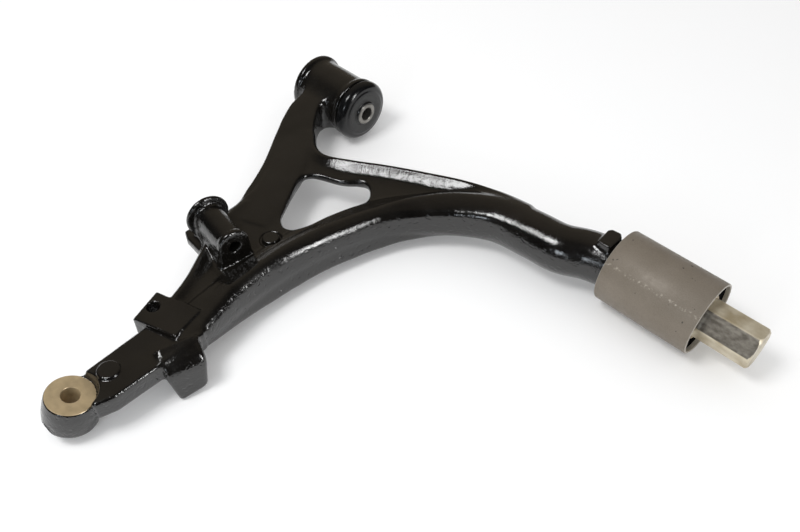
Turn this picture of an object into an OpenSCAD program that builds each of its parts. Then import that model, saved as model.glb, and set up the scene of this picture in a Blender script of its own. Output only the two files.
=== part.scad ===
// Left front lower control arm: one steel forging with a front bushed eye, a long
// rear journal that carries a large cylindrical bush, a tapered ball stud seat at
// the outboard end, a cross-drilled damper lug and a drilled bracket pad.
// Origin: centre of the front eye, on the pivot axis. +X forward along the pivot
// axis, +Y outboard towards the ball stud seat, +Z up.

/* [Front eye] */
// Bore of the steel tube that the pivot bolt passes through
pivot_bore_d = 14.2; // [12.2:0.1:16.2]
// Outside diameter of the pivot tube
pivot_tube_d = 23; // [21:0.5:24]
// End of the pivot tube behind the eye's centre
pivot_tube_rear = 49; // [45:0.5:55]
// End of the pivot tube ahead of the eye's centre
pivot_tube_front = 37; // [35:0.5:42]
// Length of the forged eye over its two end rims
eye_len = 65; // [60:1:70]
// Outside diameter of the eye's barrel
eye_d = 59.4; // [58:0.1:62]
// Diameter of the eye's front rim
eye_front_rim_d = 66.4; // [64:0.2:68.6]
// Diameter of the eye's rear rim
eye_rear_rim_d = 63.6; // [62:0.2:68.6]
// Bore of the eye that the bush is pressed into
eye_bore_d = 51; // [48:0.5:52]
// Diameter of the rubber thrust disc behind the eye
thrust_disc_d = 64.6; // [60:0.2:66]

/* [Rear bush] */
// Outside diameter of the large steel shell
shell_d = 68.7; // [60:0.1:68.7]
// Length of the shell
shell_len = 90.6; // [80:0.2:96]
// Wall thickness of the shell
shell_wall = 2.2; // [1.5:0.1:3]
// Distance from the front eye's centre to the shell's centre
bush_spacing = 411.5; // [405:0.5:415]

/* [Journal] */
// Diameter of the machined journal
journal_d = 37.9; // [34:0.1:38]
// Distance from the front eye's centre to the journal's tip
journal_tip = 502.5; // [495:0.5:510]
// Distance across the journal's milled flats
across_flats = 33.6; // [32:0.2:36]
// Turn of the first flat about the journal, from level
flat_turn = 38.6; // [0:0.2:60]

/* [Ball stud seat] */
// Inboard and rearward lean of the seat's axis
seat_lean = 14.4; // [0:0.2:20]
// Diameter of the machined seat face
seat_face_d = 38; // [34:0.5:40]
// Diameter of the taper where it meets the face
seat_taper_d = 15.4; // [14:0.1:17]
// Height of the seat boss along its axis
seat_h = 32; // [28:0.5:33]

/* [Lugs] */
// Damper bolt hole across the lug
lug_hole_d = 10.4; // [9:0.1:12.4]
// Length of the lug over its two faces
lug_len = 52; // [44:0.5:56]
// Hole down through the bracket pad
pad_hole_d = 10.4; // [8:0.1:11]

/* [Forging] */
// Top of the web above the pivot axis
web_top = 4; // [2:0.5:6]
// Thickness of the web
web_t = 10; // [8:0.5:14]

/* [Hidden] */
$fn = 96;
eps = 0.02;

run_gap = 0.05;
neck_r = 20.8;

// Seat face centre and the seat's axis
seat_pos = [-145.4, 411, 1.1];
seat_turn = 237.7;

// Foot of the stop tab on the neck, and its height
tab_pos = [-356, 0, 11];
tab_h = 16;

// Foot of the hole through the bracket pad
pad_hole = [-123, 319, -30];

// Damper lug: centre of its rear face and its turn about the vertical
lug_pos = [-127.5, 235.3, 22.5];
lug_turn = 9;
lug_barrel_r = 13.5;
lug_face_r = 14.5;
lug_flange_r = 20.6;
lug_flange_t = 4;

// Depth of the stop block into the bar, and the lean of its face
stop_depth = 20;
stop_tilt = 6;

// Rear bush
liner_r = 21.6;
liner_rear = 452;
flats_start = 456;
liner_front = 369;
shell_front = bush_spacing - shell_len / 2;
shell_rear = bush_spacing + shell_len / 2;

// Front bush
front_shell_t = 1.8;
front_flange_r = 28.7;
front_flange_t = 2.4;
thrust_back = 44.2;

// Main beam, from the stop block to the round neck:
// [x, y, z, half width, half height, squareness, slope of the top]
BEAM = [
    [-157, 322, -4, 10, 14, 3.4, 0.20],
    [-161, 304, -4,  9, 19, 3.4, 0.36],
    [-159, 262, -4, 10, 21, 3.4, 0.36],
    [-158, 222, -4, 11, 21, 3.4, 0.34],
    [-158, 182, -4, 12, 21, 3.4, 0.34],
    [-165, 142, -4, 12, 21, 3.4, 0.32],
    [-179, 106, -4, 14, 21, 3.2, 0.28],
    [-198,  75, -4, 15, 21, 3.0, 0.22],
    [-222,  48, -3, 17, 21, 2.8, 0.14],
    [-252,  28, -1, 19, 21, 2.5, 0.08],
    [-290,  22,  0, 20, 20.5, 2.2, 0.03],
    [-318,  19,  0, 20.6, 20.8, 2.0, 0],
    [-341,   8,  0, 20.8, 20.8, 2.0, 0],
    [-366,   0,  0, 20.8, 20.8, 2.0, 0]
];

// Inner rim, from the front leg to the neck
INNER_RIM = [
    [ -50,  86, -2,  8, 11, 2.6, 0],
    [ -78,  92, -1,  8, 12, 2.6, 0],
    [-104,  82,  0,  8, 14, 2.6, 0],
    [-138,  61,  0,  8, 14, 2.6, 0],
    [-173,  42,  0,  8, 14, 2.6, 0],
    [-209,  25,  0,  9, 15, 2.6, 0],
    [-241,  18,  0, 12, 17, 2.4, 0],
    [-272,  18,  0, 14, 18, 2.2, 0]
];

// Outer rim, from the bracket pad round the damper lug
OUTER_RIM = [
    [-131, 308, -2,  7, 12, 2.6, 0],
    [-120, 280, -1,  7, 11, 2.6, 0],
    [-104, 253,  0,  7, 10, 2.6, 0],
    [ -88, 228,  0,  7,  9, 2.6, 0],
    [ -79, 204,  0,  7,  9, 2.6, 0],
    [ -74, 180,  0,  7,  9, 2.6, 0]
];

// Front leg, from the lug to the eye
LEG = [
    [-94, 196, -1, 17,  7, 3.4, 0],
    [-78, 160, -1, 19,  8, 3.4, 0],
    [-58, 124, -1, 20,  9, 3.4, 0],
    [-32,  88, -2, 20, 11, 3.4, 0],
    [-12,  62, -3, 17, 14, 3.2, 0],
    [ -1,  40, -4, 15, 17, 4.0, 0],
    [  0,  14, -4, 16, 19, 4.5, 0]
];

// Plan outline of the web between the rims
WEB = [
    [-132, 318], [-120, 283], [-104, 255], [-94, 251], [-72, 250], [-63, 244], [-60, 226], [-68, 196],
    [-66, 164], [-46, 120], [-52, 88],
    [-78, 92], [-104, 82], [-138, 61], [-173, 42], [-209, 25], [-241, 18], [-252, 28], [-222, 48],
    [-198, 75], [-179, 106], [-166, 142], [-159, 182], [-158, 222], [-160, 262], [-159, 318]
];

// Outline of the window through the web
WINDOW = [
    [-116, 174], [-105, 162], [-92, 143], [-80, 124], [-78, 115], [-84, 106], [-97, 100], [-111, 95],
    [-122, 85], [-131, 81], [-142, 85], [-149, 95], [-149, 108], [-143, 132], [-140, 160], [-131, 175]
];

// Uniform Catmull-Rom value between p1 and p2
function spline(p0, p1, p2, p3, t) =
    0.5 * (2 * p1 + (p2 - p0) * t + (2 * p0 - 5 * p1 + 4 * p2 - p3) * t * t
           + (3 * p1 - p0 - 3 * p2 + p3) * t * t * t);

// Stations resampled n times between each pair
function smooth(pts, n) = let (last = len(pts) - 1) [
    for (i = [0 : last - 1], k = [0 : n - 1])
        spline(pts[max(i - 1, 0)], pts[i], pts[i + 1], pts[min(i + 2, last)], k / n),
    pts[last]
];

function power(v, e) = sign(v) * pow(abs(v), e);

// One ring of a rib: a rounded section across the plan direction
function ring(s, side, sides) = [
    for (k = [0 : sides - 1])
        let (a = 360 * (k + 0.5) / sides,
             u = s[3] * power(cos(a), 2 / s[5]),
             w = s[4] * power(sin(a), 2 / s[5]),
             drop = max(w, 0) / s[4] * s[6] * (u + s[3]))
        [s[0] + side[0] * u, s[1] + side[1] * u, s[2] + w - drop]
];

// Closed body swept through the stations; the half width is measured to the right of travel
module rib(stations, n, sides) {
    path = smooth(stations, n);
    count = len(path);
    rings = [
        for (i = [0 : count - 1])
            let (d = path[min(i + 1, count - 1)] - path[max(i - 1, 0)],
                 h = norm([d[0], d[1]]))
            ring(path[i], [d[1] / h, -d[0] / h], sides)
    ];
    pts = [for (r = rings) each r];
    walls = [
        for (i = [0 : count - 2], k = [0 : sides - 1])
            let (a = i * sides + k, b = i * sides + (k + 1) % sides)
            each [[a, b, a + sides], [b, b + sides, a + sides]]
    ];
    tail = (count - 1) * sides;
    start = [for (k = [1 : sides - 2]) [0, k + 1, k]];
    end = [for (k = [1 : sides - 2]) [tail, tail + k, tail + k + 1]];
    polyhedron(pts, concat(walls, start, end), convexity = 6);
}

// Round body about the pivot axis from its [distance forward, radius] outline
module turned(outline) {
    rotate([90, 0, 90]) rotate_extrude() polygon([for (p = outline) [p[1], p[0]]]);
}

// Frames of the tilted and turned features
module at_seat() {
    translate(seat_pos) rotate([0, 0, seat_turn]) rotate([0, seat_lean, 0]) children();
}

module at_lug() {
    translate(lug_pos) rotate([0, 0, -lug_turn]) rotate([0, 90, 0]) children();
}

// Web plate with the lightening window
module web() {
    difference() {
        translate([0, 0, web_top - web_t]) linear_extrude(web_t) polygon(WEB);
        translate([0, 0, web_top - web_t - 1]) linear_extrude(web_t + 2) window_outline();
    }
}

module window_outline() {
    count = len(WINDOW);
    polygon([
        for (i = [0 : count - 1], k = [0 : 2])
            spline(WINDOW[(i + count - 1) % count], WINDOW[i], WINDOW[(i + 1) % count],
                   WINDOW[(i + 2) % count], k / 3)
    ]);
}

// Flat bar from the stop block to the seat boss
module end_bar() {
    translate([0, 0, -14]) linear_extrude(19)
        polygon([[-134, 300], [-132, 338], [-136, 398], [-141, 424], [-152, 414], [-170, 404],
                 [-174, 390], [-174, 350], [-172, 306]]);
    translate([-150, 379, 4]) cylinder(r = 9.5, h = 2.5);
}

// Bracket pad with its vertical hole
module bracket_pad() {
    translate([0, 0, -12]) linear_extrude(22)
        polygon([[-112, 308], [-122, 338], [-162, 325], [-154, 293], [-137, 297], [-124, 303]]);
}

// Rebound stop block on the rear side of the bar
module stop_block() {
    translate([-181, 350.5, 0]) rotate([0, 0, -105.2]) rotate([-stop_tilt, 0, 0]) translate([0, stop_depth, 0])
        rotate([90, 0, 0]) linear_extrude(stop_depth)
            polygon([[0, 0], [2, 3], [34, 3], [34.5, 0], [30, -29], [7, -34], [0, -9]]);
}

// Damper lug: barrel, two flanges and the pedestal below them
module damper_lug() {
    at_lug() {
        cylinder(r = lug_barrel_r, h = lug_len);
        translate([-2, 0, 0]) cylinder(r = lug_face_r, h = 5);
        translate([0, 0, lug_len - lug_flange_t]) cylinder(r = lug_flange_r, h = lug_flange_t);
        translate([0, 0, 2]) linear_extrude(lug_len - 5)
            polygon([[0, -12], [0, 12], [26, 15], [26, -15]]);
        linear_extrude(5) polygon([[-2, -lug_face_r], [-2, lug_face_r], [26, 16.5], [26, -16.5]]);
    }
}

// Seat boss at the outboard end
module seat_boss() {
    at_seat() rotate_extrude() polygon([
        [0, 0], [seat_face_d / 2, 0], [seat_face_d / 2 + 0.8, -1.5], [21.2, -10], [21.9, -18], [21.8, seat_h * -0.8],
        [17.5, -seat_h], [0, -seat_h]
    ]);
}

// Front eye with its end rims
module eye_body() {
    half = eye_len / 2;
    front_r = eye_front_rim_d / 2;
    rear_r = eye_rear_rim_d / 2;
    turned([[-half, 0], [-half, rear_r - 1], [-half + 1, rear_r], [-half + 4, rear_r], [-half + 9, eye_d / 2],
            [half - 9, eye_d / 2], [half - 4, front_r], [half - 1, front_r], [half, front_r - 1], [half, 0]]);
}

// Journal behind the neck, with its six milled flats
module journal() {
    r = journal_d / 2;
    turned([[-liner_front + 2, 0], [-liner_front + 2, r], [-journal_tip + 2, r], [-journal_tip, r - 2],
            [-journal_tip, 0]]);
}

module journal_flats() {
    cut = 10;
    for (k = [0 : 5]) rotate([flat_turn + 60 * k, 0, 0])
        translate([-journal_tip - 1, across_flats / 2, -cut]) cube([journal_tip - flats_start, cut, 2 * cut]);
}

// Everything outside the journal behind the neck's end face
module liner_clearance() {
    r = journal_d / 2;
    turned([[-liner_front - 20, r], [-liner_front - 20, r + 20], [-liner_front, r + 20], [-liner_front, r]]);
}

module stop_tab() {
    translate(tab_pos) linear_extrude(tab_h)
        polygon([[4.4, 10.8], [7.4, -6.2], [5.4, -9.2], [-3.6, -10.2], [-7.6, -5.2], [-7.6, 9.5],
                 [-6.4, 11.1]]);
}

// Drooped skirt of the web below the lug's front flange
module lug_skirt() {
    translate([0, 0, -5]) linear_extrude(10)
        polygon([[-104, 250], [-92, 250], [-72, 249], [-63, 245], [-64, 222], [-70, 193], [-92, 204]]);
}

module arm_forging() {
    half = eye_len / 2;
    color("#1b1a19") difference() {
        union() {
            rib(BEAM, 3, 20);
            rib(INNER_RIM, 2, 12);
            rib(OUTER_RIM, 2, 12);
            rib(LEG, 2, 16);
            web();
            end_bar();
            bracket_pad();
            stop_block();
            lug_skirt();
            damper_lug();
            seat_boss();
            eye_body();
            stop_tab();
            translate([-liner_front, 0, 0]) rotate([0, 90, 0]) cylinder(r = neck_r, h = 10);
            journal();
        }
        rotate([0, 90, 0]) translate([0, 0, -half - 1]) cylinder(d = eye_bore_d, h = eye_len + 2);
        at_lug() translate([0, 0, -10]) cylinder(d = lug_hole_d, h = lug_len + 20);
        translate(pad_hole) cylinder(d = pad_hole_d, h = 60);
        at_seat() cylinder(r = seat_face_d / 2 + 0.3, h = 20);
        at_seat() translate([0, 0, -seat_h - 6])
            cylinder(d1 = seat_taper_d - 4, d2 = seat_taper_d, h = seat_h + 6 + eps);
        journal_flats();
        liner_clearance();
    }
}

module front_bush_shell() {
    r = eye_bore_d / 2;
    half = eye_len / 2;
    color("#3a3835") turned([
        [-half - front_flange_t, r - front_shell_t], [-half - front_flange_t, front_flange_r],
        [-half, front_flange_r], [-half, r], [half - 1, r], [half - 1, r - front_shell_t]
    ]);
}

module front_bush_rubber() {
    r = eye_bore_d / 2 - front_shell_t;
    inner = pivot_tube_d / 2 + run_gap;
    half = eye_len / 2;
    flange_back = -half - front_flange_t;
    disc = thrust_disc_d / 2;
    color("#26282a") turned([
        [-thrust_back, inner], [-thrust_back, disc - 3], [-thrust_back + 3, disc], [flange_back - 1.5, disc],
        [flange_back, disc - 2], [flange_back, r], [half - 4, r], [half - 8, inner]
    ]);
}

module front_pivot_tube() {
    color("#9c9486") turned([
        [-pivot_tube_rear, pivot_bore_d / 2], [-pivot_tube_rear, pivot_tube_d / 2 - 0.6],
        [-pivot_tube_rear + 0.6, pivot_tube_d / 2], [pivot_tube_front - 0.6, pivot_tube_d / 2],
        [pivot_tube_front, pivot_tube_d / 2 - 0.6], [pivot_tube_front, pivot_bore_d / 2]
    ]);
}

module rear_bush_shell() {
    r = shell_d / 2;
    c = 1;
    color("#7d766c") turned([
        [-shell_rear, r - shell_wall], [-shell_rear, r - c], [-shell_rear + c, r], [-shell_front - c, r],
        [-shell_front, r - c], [-shell_front, r - shell_wall]
    ]);
}

module rear_bush_rubber() {
    r = shell_d / 2 - shell_wall;
    inner = liner_r + run_gap;
    color("#1f1f20") turned([
        [-shell_rear + 4, r], [-shell_rear + 9, r - 4], [-shell_rear + 9, inner + 3], [-shell_rear + 5, inner],
        [-shell_front - 5, inner], [-shell_front - 9, inner + 3], [-shell_front - 9, r - 4],
        [-shell_front - 4, r]
    ]);
}

module rear_bush_liner() {
    color("#a39a88") turned([
        [-liner_rear, journal_d / 2], [-liner_rear, liner_r - 0.5], [-liner_rear + 0.5, liner_r],
        [-liner_front - 0.5, liner_r], [-liner_front, liner_r - 0.5], [-liner_front, journal_d / 2]
    ]);
}

arm_forging();
front_bush_shell();
front_bush_rubber();
front_pivot_tube();
rear_bush_shell();
rear_bush_rubber();
rear_bush_liner();
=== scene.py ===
"""Visual model of a forged lower control arm with its two pivot bushes."""

import logging
import math
from dataclasses import dataclass
from enum import Enum
from typing import Callable, Sequence

import bpy
import numpy as np
from mathutils import Matrix, Vector


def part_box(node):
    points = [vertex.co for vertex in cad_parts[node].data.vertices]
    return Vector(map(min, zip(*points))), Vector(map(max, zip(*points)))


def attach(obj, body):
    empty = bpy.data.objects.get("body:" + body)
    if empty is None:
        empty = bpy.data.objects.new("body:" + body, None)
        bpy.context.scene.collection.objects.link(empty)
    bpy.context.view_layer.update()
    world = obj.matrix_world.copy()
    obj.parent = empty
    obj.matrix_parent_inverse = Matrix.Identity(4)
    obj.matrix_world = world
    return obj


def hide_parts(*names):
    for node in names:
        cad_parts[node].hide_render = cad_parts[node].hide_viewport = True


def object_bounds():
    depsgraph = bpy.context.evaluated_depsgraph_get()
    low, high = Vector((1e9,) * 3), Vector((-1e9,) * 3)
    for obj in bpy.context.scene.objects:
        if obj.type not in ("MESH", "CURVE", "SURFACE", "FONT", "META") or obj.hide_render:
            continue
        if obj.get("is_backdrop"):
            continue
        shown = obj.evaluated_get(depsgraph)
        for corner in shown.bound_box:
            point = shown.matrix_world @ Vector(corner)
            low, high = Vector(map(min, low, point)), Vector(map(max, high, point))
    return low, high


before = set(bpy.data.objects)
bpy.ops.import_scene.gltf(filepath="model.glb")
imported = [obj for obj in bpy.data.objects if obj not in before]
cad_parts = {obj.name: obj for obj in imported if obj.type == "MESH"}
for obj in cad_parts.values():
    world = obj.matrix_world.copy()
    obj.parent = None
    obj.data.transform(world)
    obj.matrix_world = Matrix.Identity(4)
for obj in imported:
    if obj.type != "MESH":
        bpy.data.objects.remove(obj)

LOG = logging.getLogger("control_arm")
MM = 0.001
FAR = 16.0
GRID, QUICK_GRID = 1.3, 2.4
EYE_R, EYE_HALF, EYE_BORE_R = 29.7, 32.5, 25.5
TUBE_BORE_R = 7.1
JOURNAL_R, FLAT_OFFSET, FLAT_TURN = 18.95, 16.8, 38.6
Array = np.ndarray
Point = tuple[float, ...]


class Slot(Enum):
    """Material slots of the record."""

    PAINT = "black_paint"
    FRONT_SHELL = "bush_shell_steel"
    RUBBER = "black_rubber"
    TUBE = "tube_steel"
    PHOSPHATE = "phosphated_steel"
    MACHINED = "machined_steel"


# ---------------------------------------------------------------- field mathematics


def smin(a: Array, b: Array, k: float) -> Array:
    """Union of two distance fields with a fillet.

    Args:
        a: First field in millimetres.
        b: Second field in millimetres.
        k: Reach of the fillet in millimetres.

    Returns:
        The blended field.
    """
    if k <= 0:
        return np.minimum(a, b)
    h = np.maximum(k - np.abs(a - b), 0.0) / k
    return np.minimum(a, b) - h * h * (k * 0.25)


def smax(a: Array, b: Array, k: float) -> Array:
    """Intersection of two distance fields with a rounded edge.

    Args:
        a: First field in millimetres.
        b: Second field in millimetres.
        k: Reach of the rounding in millimetres.

    Returns:
        The blended field.
    """
    return -smin(-a, -b, k)


def ramp(x: Array, lo: float, hi: float) -> Array:
    """Smooth step from 0 at lo to 1 at hi.

    Args:
        x: Values to map.
        lo: Value that maps to 0.
        hi: Value that maps to 1.

    Returns:
        The eased values.
    """
    t = np.clip((x - lo) / (hi - lo), 0.0, 1.0)
    return t * t * (3 - 2 * t)


def catmull(points: Sequence[Point], n: int, closed: bool = False) -> Array:
    """Catmull-Rom curve through the points.

    Args:
        points: Control points.
        n: Samples for each span.
        closed: Whether the curve joins up.

    Returns:
        The sampled points, the last control point included on an open curve.
    """
    p = np.array(points, float)
    count = len(p)
    spans = count if closed else count - 1
    t = (np.arange(n) / n)[:, None]
    out = []
    for i in range(spans):
        if closed:
            a, b, c, d = (p[(i + j) % count] for j in (-1, 0, 1, 2))
        else:
            a, b, c, d = p[max(i - 1, 0)], p[i], p[i + 1], p[min(i + 2, count - 1)]
        out.append(0.5 * (2 * b + (c - a) * t + (2 * a - 5 * b + 4 * c - d) * t**2
                          + (3 * b - a - 3 * c + d) * t**3))
    if not closed:
        out.append(p[-1:])
    return np.concatenate(out)


def polygon_field(poly: Array, x: Array, y: Array) -> Array:
    """Signed distance to a closed polygon in a plane.

    Args:
        poly: Corners, in either direction.
        x: First coordinate of the sample points.
        y: Second coordinate of the sample points.

    Returns:
        Distance, negative inside.
    """
    x, y = np.broadcast_arrays(x, y)
    best = np.full(x.shape, 1e9)
    inside = np.zeros(x.shape, bool)
    for a, b in zip(poly, np.roll(poly, -1, axis=0)):
        ex, ey = b[0] - a[0], b[1] - a[1]
        wx, wy = x - a[0], y - a[1]
        t = np.clip((wx * ex + wy * ey) / max(ex * ex + ey * ey, 1e-9), 0, 1)
        best = np.minimum(best, (wx - ex * t) ** 2 + (wy - ey * t) ** 2)
        crosses = (a[1] > y) != (b[1] > y)
        if ey != 0:
            inside ^= crosses & (x < ex * (y - a[1]) / ey + a[0])
    return np.where(inside, -1.0, 1.0) * np.sqrt(best)


def path_field(path: Array, x: Array, y: Array, per_station: int) -> tuple[Array, Array, Array]:
    """Place of plan points relative to a path.

    Args:
        path: Sampled path points.
        x: Plan coordinate of the sample points.
        y: Plan coordinate of the sample points.
        per_station: Path samples for each station.

    Returns:
        Station number along the path, offset to the right of travel, and overshoot past the ends.
    """
    x, y = np.broadcast_arrays(x, y)
    best = np.full(x.shape, 1e9)
    station = np.zeros(x.shape)
    side = np.zeros(x.shape)
    over = np.zeros(x.shape)
    last = len(path) - 2
    for i in range(last + 1):
        a, b = path[i], path[i + 1]
        e = b - a
        length = math.hypot(*e)
        tx, ty = e / length
        wx, wy = x - a[0], y - a[1]
        along = wx * tx + wy * ty
        t = np.clip(along, 0, length)
        d2 = (wx - tx * t) ** 2 + (wy - ty * t) ** 2
        near = d2 < best
        best = np.where(near, d2, best)
        station = np.where(near, (i + t / length) / per_station, station)
        cross = wx * ty - wy * tx
        ends = (np.where(i == 0, -along, -1e9), np.where(i == last, along - length, -1e9))
        past = np.maximum(*ends)
        side = np.where(near, np.where(past > 0, cross, np.sign(cross) * np.sqrt(d2)), side)
        over = np.where(near, np.where(past > -1e8, past, -FAR), over)
    return station, side, over


class Field:
    """Signed distance field of the forging on a regular grid, in millimetres."""

    def __init__(self, lo: Point, hi: Point, step: float) -> None:
        """Fills the grid with empty space.

        Args:
            lo: Lowest corner.
            hi: Highest corner.
            step: Grid spacing.
        """
        self.lo = np.array(lo, float)
        self.step = step
        shape = np.ceil((np.array(hi) - self.lo) / step).astype(int) + 1
        self.values = np.full(shape, FAR, np.float32)

    def region(self, lo: Point, hi: Point) -> tuple[tuple[slice, ...], list[Array]]:
        """Part of the grid within a box.

        Args:
            lo: Lowest corner of the box.
            hi: Highest corner of the box.

        Returns:
            The slices and the three coordinate arrays, ready to broadcast.
        """
        shape = self.values.shape
        a = np.clip(np.floor((np.array(lo) - self.lo) / self.step).astype(int), 0, shape)
        b = np.clip(np.ceil((np.array(hi) - self.lo) / self.step).astype(int) + 1, 0, shape)
        axes = []
        for k in range(3):
            c = self.lo[k] + self.step * np.arange(a[k], b[k])
            axes.append(c.reshape([-1 if j == k else 1 for j in range(3)]))
        return tuple(slice(p, q) for p, q in zip(a, b)), axes

    def add(self, lo: Point, hi: Point, shape: Callable[..., Array], k: float) -> None:
        """Joins a body to the field with a fillet.

        Args:
            lo: Lowest corner of the body.
            hi: Highest corner of the body.
            shape: Distance function of x, y and z.
            k: Reach of the fillet.
        """
        pad = FAR * 0.9
        where, axes = self.region(np.array(lo) - pad, np.array(hi) + pad)
        made = np.minimum(shape(*axes), FAR)
        self.values[where] = smin(self.values[where], made, k)

    def cut(self, lo: Point, hi: Point, shape: Callable[..., Array], k: float) -> None:
        """Takes a body out of the field with a rounded edge.

        Args:
            lo: Lowest corner of the body.
            hi: Highest corner of the body.
            shape: Distance function of x, y and z.
            k: Reach of the rounding.
        """
        pad = k + 2 * self.step
        where, axes = self.region(np.array(lo) - pad, np.array(hi) + pad)
        self.values[where] = smax(self.values[where], -shape(*axes), k)

    def sample(self, points: Array) -> Array:
        """Field value at free points, by trilinear blending.

        Args:
            points: Sample points, one a row.

        Returns:
            The values.
        """
        g = (points - self.lo) / self.step
        top = np.array(self.values.shape) - 2
        i = np.clip(np.floor(g).astype(int), 0, top)
        f = np.clip(g - i, 0, 1)
        out = np.zeros(len(points))
        for dx in (0, 1):
            for dy in (0, 1):
                for dz in (0, 1):
                    w = (np.abs(1 - dx - f[:, 0]) * np.abs(1 - dy - f[:, 1])
                         * np.abs(1 - dz - f[:, 2]))
                    out += w * self.values[i[:, 0] + dx, i[:, 1] + dy, i[:, 2] + dz]
        return out

    def slope(self, points: Array) -> Array:
        """Unit outward direction of the field at free points.

        Args:
            points: Sample points, one a row.

        Returns:
            Unit vectors, one a row.
        """
        h = self.step * 0.7
        g = np.stack([self.sample(points + h * e) - self.sample(points - h * e) for e in np.eye(3)], 1)
        return g / np.maximum(np.linalg.norm(g, axis=1, keepdims=True), 1e-9)

    def surface(self) -> tuple[Array, Array]:
        """Quadrilateral skin of the zero level.

        Returns:
            The vertices and the four corners of each face.
        """
        v = self.values
        inside = v < 0
        count = np.zeros(tuple(n - 1 for n in v.shape), np.int8)
        corners = [(dx, dy, dz) for dx in (0, 1) for dy in (0, 1) for dz in (0, 1)]
        for dx, dy, dz in corners:
            count += inside[dx:v.shape[0] - 1 + dx, dy:v.shape[1] - 1 + dy, dz:v.shape[2] - 1 + dz]
        cells = np.argwhere((count > 0) & (count < 8))
        number = np.full(count.shape, -1, np.int32)
        number[tuple(cells.T)] = np.arange(len(cells))
        at = {c: v[cells[:, 0] + c[0], cells[:, 1] + c[1], cells[:, 2] + c[2]] for c in corners}
        total = np.zeros((len(cells), 3))
        hits = np.zeros(len(cells))
        for a in corners:
            for axis in range(3):
                if a[axis]:
                    continue
                b = tuple(1 if k == axis else a[k] for k in range(3))
                va, vb = at[a], at[b]
                cross = (va < 0) != (vb < 0)
                t = np.where(cross, va / np.where(cross, va - vb, 1), 0)
                p = np.array(a, float)[None] + t[:, None] * np.eye(3)[axis]
                total += p * cross[:, None]
                hits += cross
        points = self.lo + self.step * (cells + total / hits[:, None])
        for _ in range(3):
            points -= self.slope(points) * np.clip(self.sample(points), -0.4, 0.4)[:, None]
        faces = []
        for axis in range(3):
            u, w = (axis + 1) % 3, (axis + 2) % 3
            first = [slice(0, n) for n in v.shape]
            second = [slice(0, n) for n in v.shape]
            first[axis], second[axis] = slice(0, -1), slice(1, None)
            a, b = inside[tuple(first)], inside[tuple(second)]
            edges = np.argwhere(a != b)
            edges = edges[(edges[:, u] > 0) & (edges[:, w] > 0) & (edges[:, u] < v.shape[u] - 1)
                          & (edges[:, w] < v.shape[w] - 1)]
            leaving = a[tuple(edges.T)]
            quad = []
            for du, dw in ((-1, -1), (0, -1), (0, 0), (-1, 0)):
                c = edges.copy()
                c[:, u] += du
                c[:, w] += dw
                quad.append(number[tuple(c.T)])
            q = np.stack(quad, 1)
            faces.append(np.where(leaving[:, None], q, q[:, ::-1]))
        return points, np.concatenate(faces)


# ---------------------------------------------------------------- shape of the forging


class Body:
    """Solid given by its distance function, in millimetres."""

    def distance(self, x: Array, y: Array, z: Array) -> Array:
        """Signed distance to the solid.

        Args:
            x: Forward coordinate.
            y: Outboard coordinate.
            z: Height.

        Returns:
            Distance, negative inside.
        """
        raise NotImplementedError

    def box(self) -> tuple[Point, Point]:
        """Box that holds the solid.

        Returns:
            Lowest and highest corner.
        """
        raise NotImplementedError


@dataclass(frozen=True)
class Ridge(Body):
    """Forged rib whose top falls away on both sides of a crest.

    Every list has one value for each station of the path. Offsets grow towards the outer wall.
    """

    path: list[Point]
    outer: list[float]
    inner: list[float]
    crest: list[float]
    top: list[float]
    fall_out: list[float]
    fall_in: list[float]
    bottom: list[float]
    radius: list[float]
    roundness: list[float]
    lean: list[float]
    outer_right: bool
    edge: float

    PROFILE = ("outer", "inner", "crest", "top", "fall_out", "fall_in", "bottom", "radius", "roundness", "lean")
    PER_STATION = 6

    def distance(self, x: Array, y: Array, z: Array) -> Array:
        """Signed distance to the rib, as in Body."""
        n = self.PER_STATION
        s, u, over = path_field(catmull(self.path, n), x[..., 0], y[..., 0], n)
        u = u if self.outer_right else -u
        at = {name: np.interp(s, np.arange(len(self.path)), getattr(self, name))[..., None]
              for name in self.PROFILE}
        u = u[..., None]
        lift = z - 4
        wall_out = (u - at["outer"] + at["lean"] * lift) / np.hypot(1, at["lean"])
        wall_in = (-u - at["inner"] + at["lean"] * lift) / np.hypot(1, at["lean"])
        slope_out = (z - at["top"] + at["fall_out"] * (u - at["crest"])) / np.hypot(1, at["fall_out"])
        slope_in = (z - at["top"] - at["fall_in"] * (u - at["crest"])) / np.hypot(1, at["fall_in"])
        d = smax(smax(slope_out, slope_in, 2.0), wall_out, self.edge)
        d = smax(d, wall_in, 2.0)
        d = smax(d, at["bottom"] - z, 6.0)
        tube = np.hypot(u, z) - at["radius"]
        d = d * (1 - at["roundness"]) + tube * at["roundness"]
        return smax(d, over[..., None], 3.0)

    def box(self) -> tuple[Point, Point]:
        """Box that holds the rib, as in Body."""
        p = np.array(self.path)
        wide = max(self.outer + self.inner + self.radius)
        low = min(self.bottom + [-r for r in self.radius])
        high = max(self.top + self.radius)
        return ((*(p.min(0) - wide), low), (*(p.max(0) + wide), high))


@dataclass(frozen=True)
class Slab(Body):
    """Plate with a plan outline and rounded edges."""

    outline: list[Point]
    low: float
    high: float
    edge: float
    curved: bool = False

    def distance(self, x: Array, y: Array, z: Array) -> Array:
        """Signed distance to the plate, as in Body."""
        poly = catmull(self.outline, 5, closed=True) if self.curved else np.array(self.outline, float)
        plan = polygon_field(poly, x[..., 0], y[..., 0])[..., None]
        return smax(smax(plan, z - self.high, self.edge), self.low - z, self.edge)

    def box(self) -> tuple[Point, Point]:
        """Box that holds the plate, as in Body."""
        p = np.array(self.outline)
        return ((*p.min(0), self.low), (*p.max(0), self.high))


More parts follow.
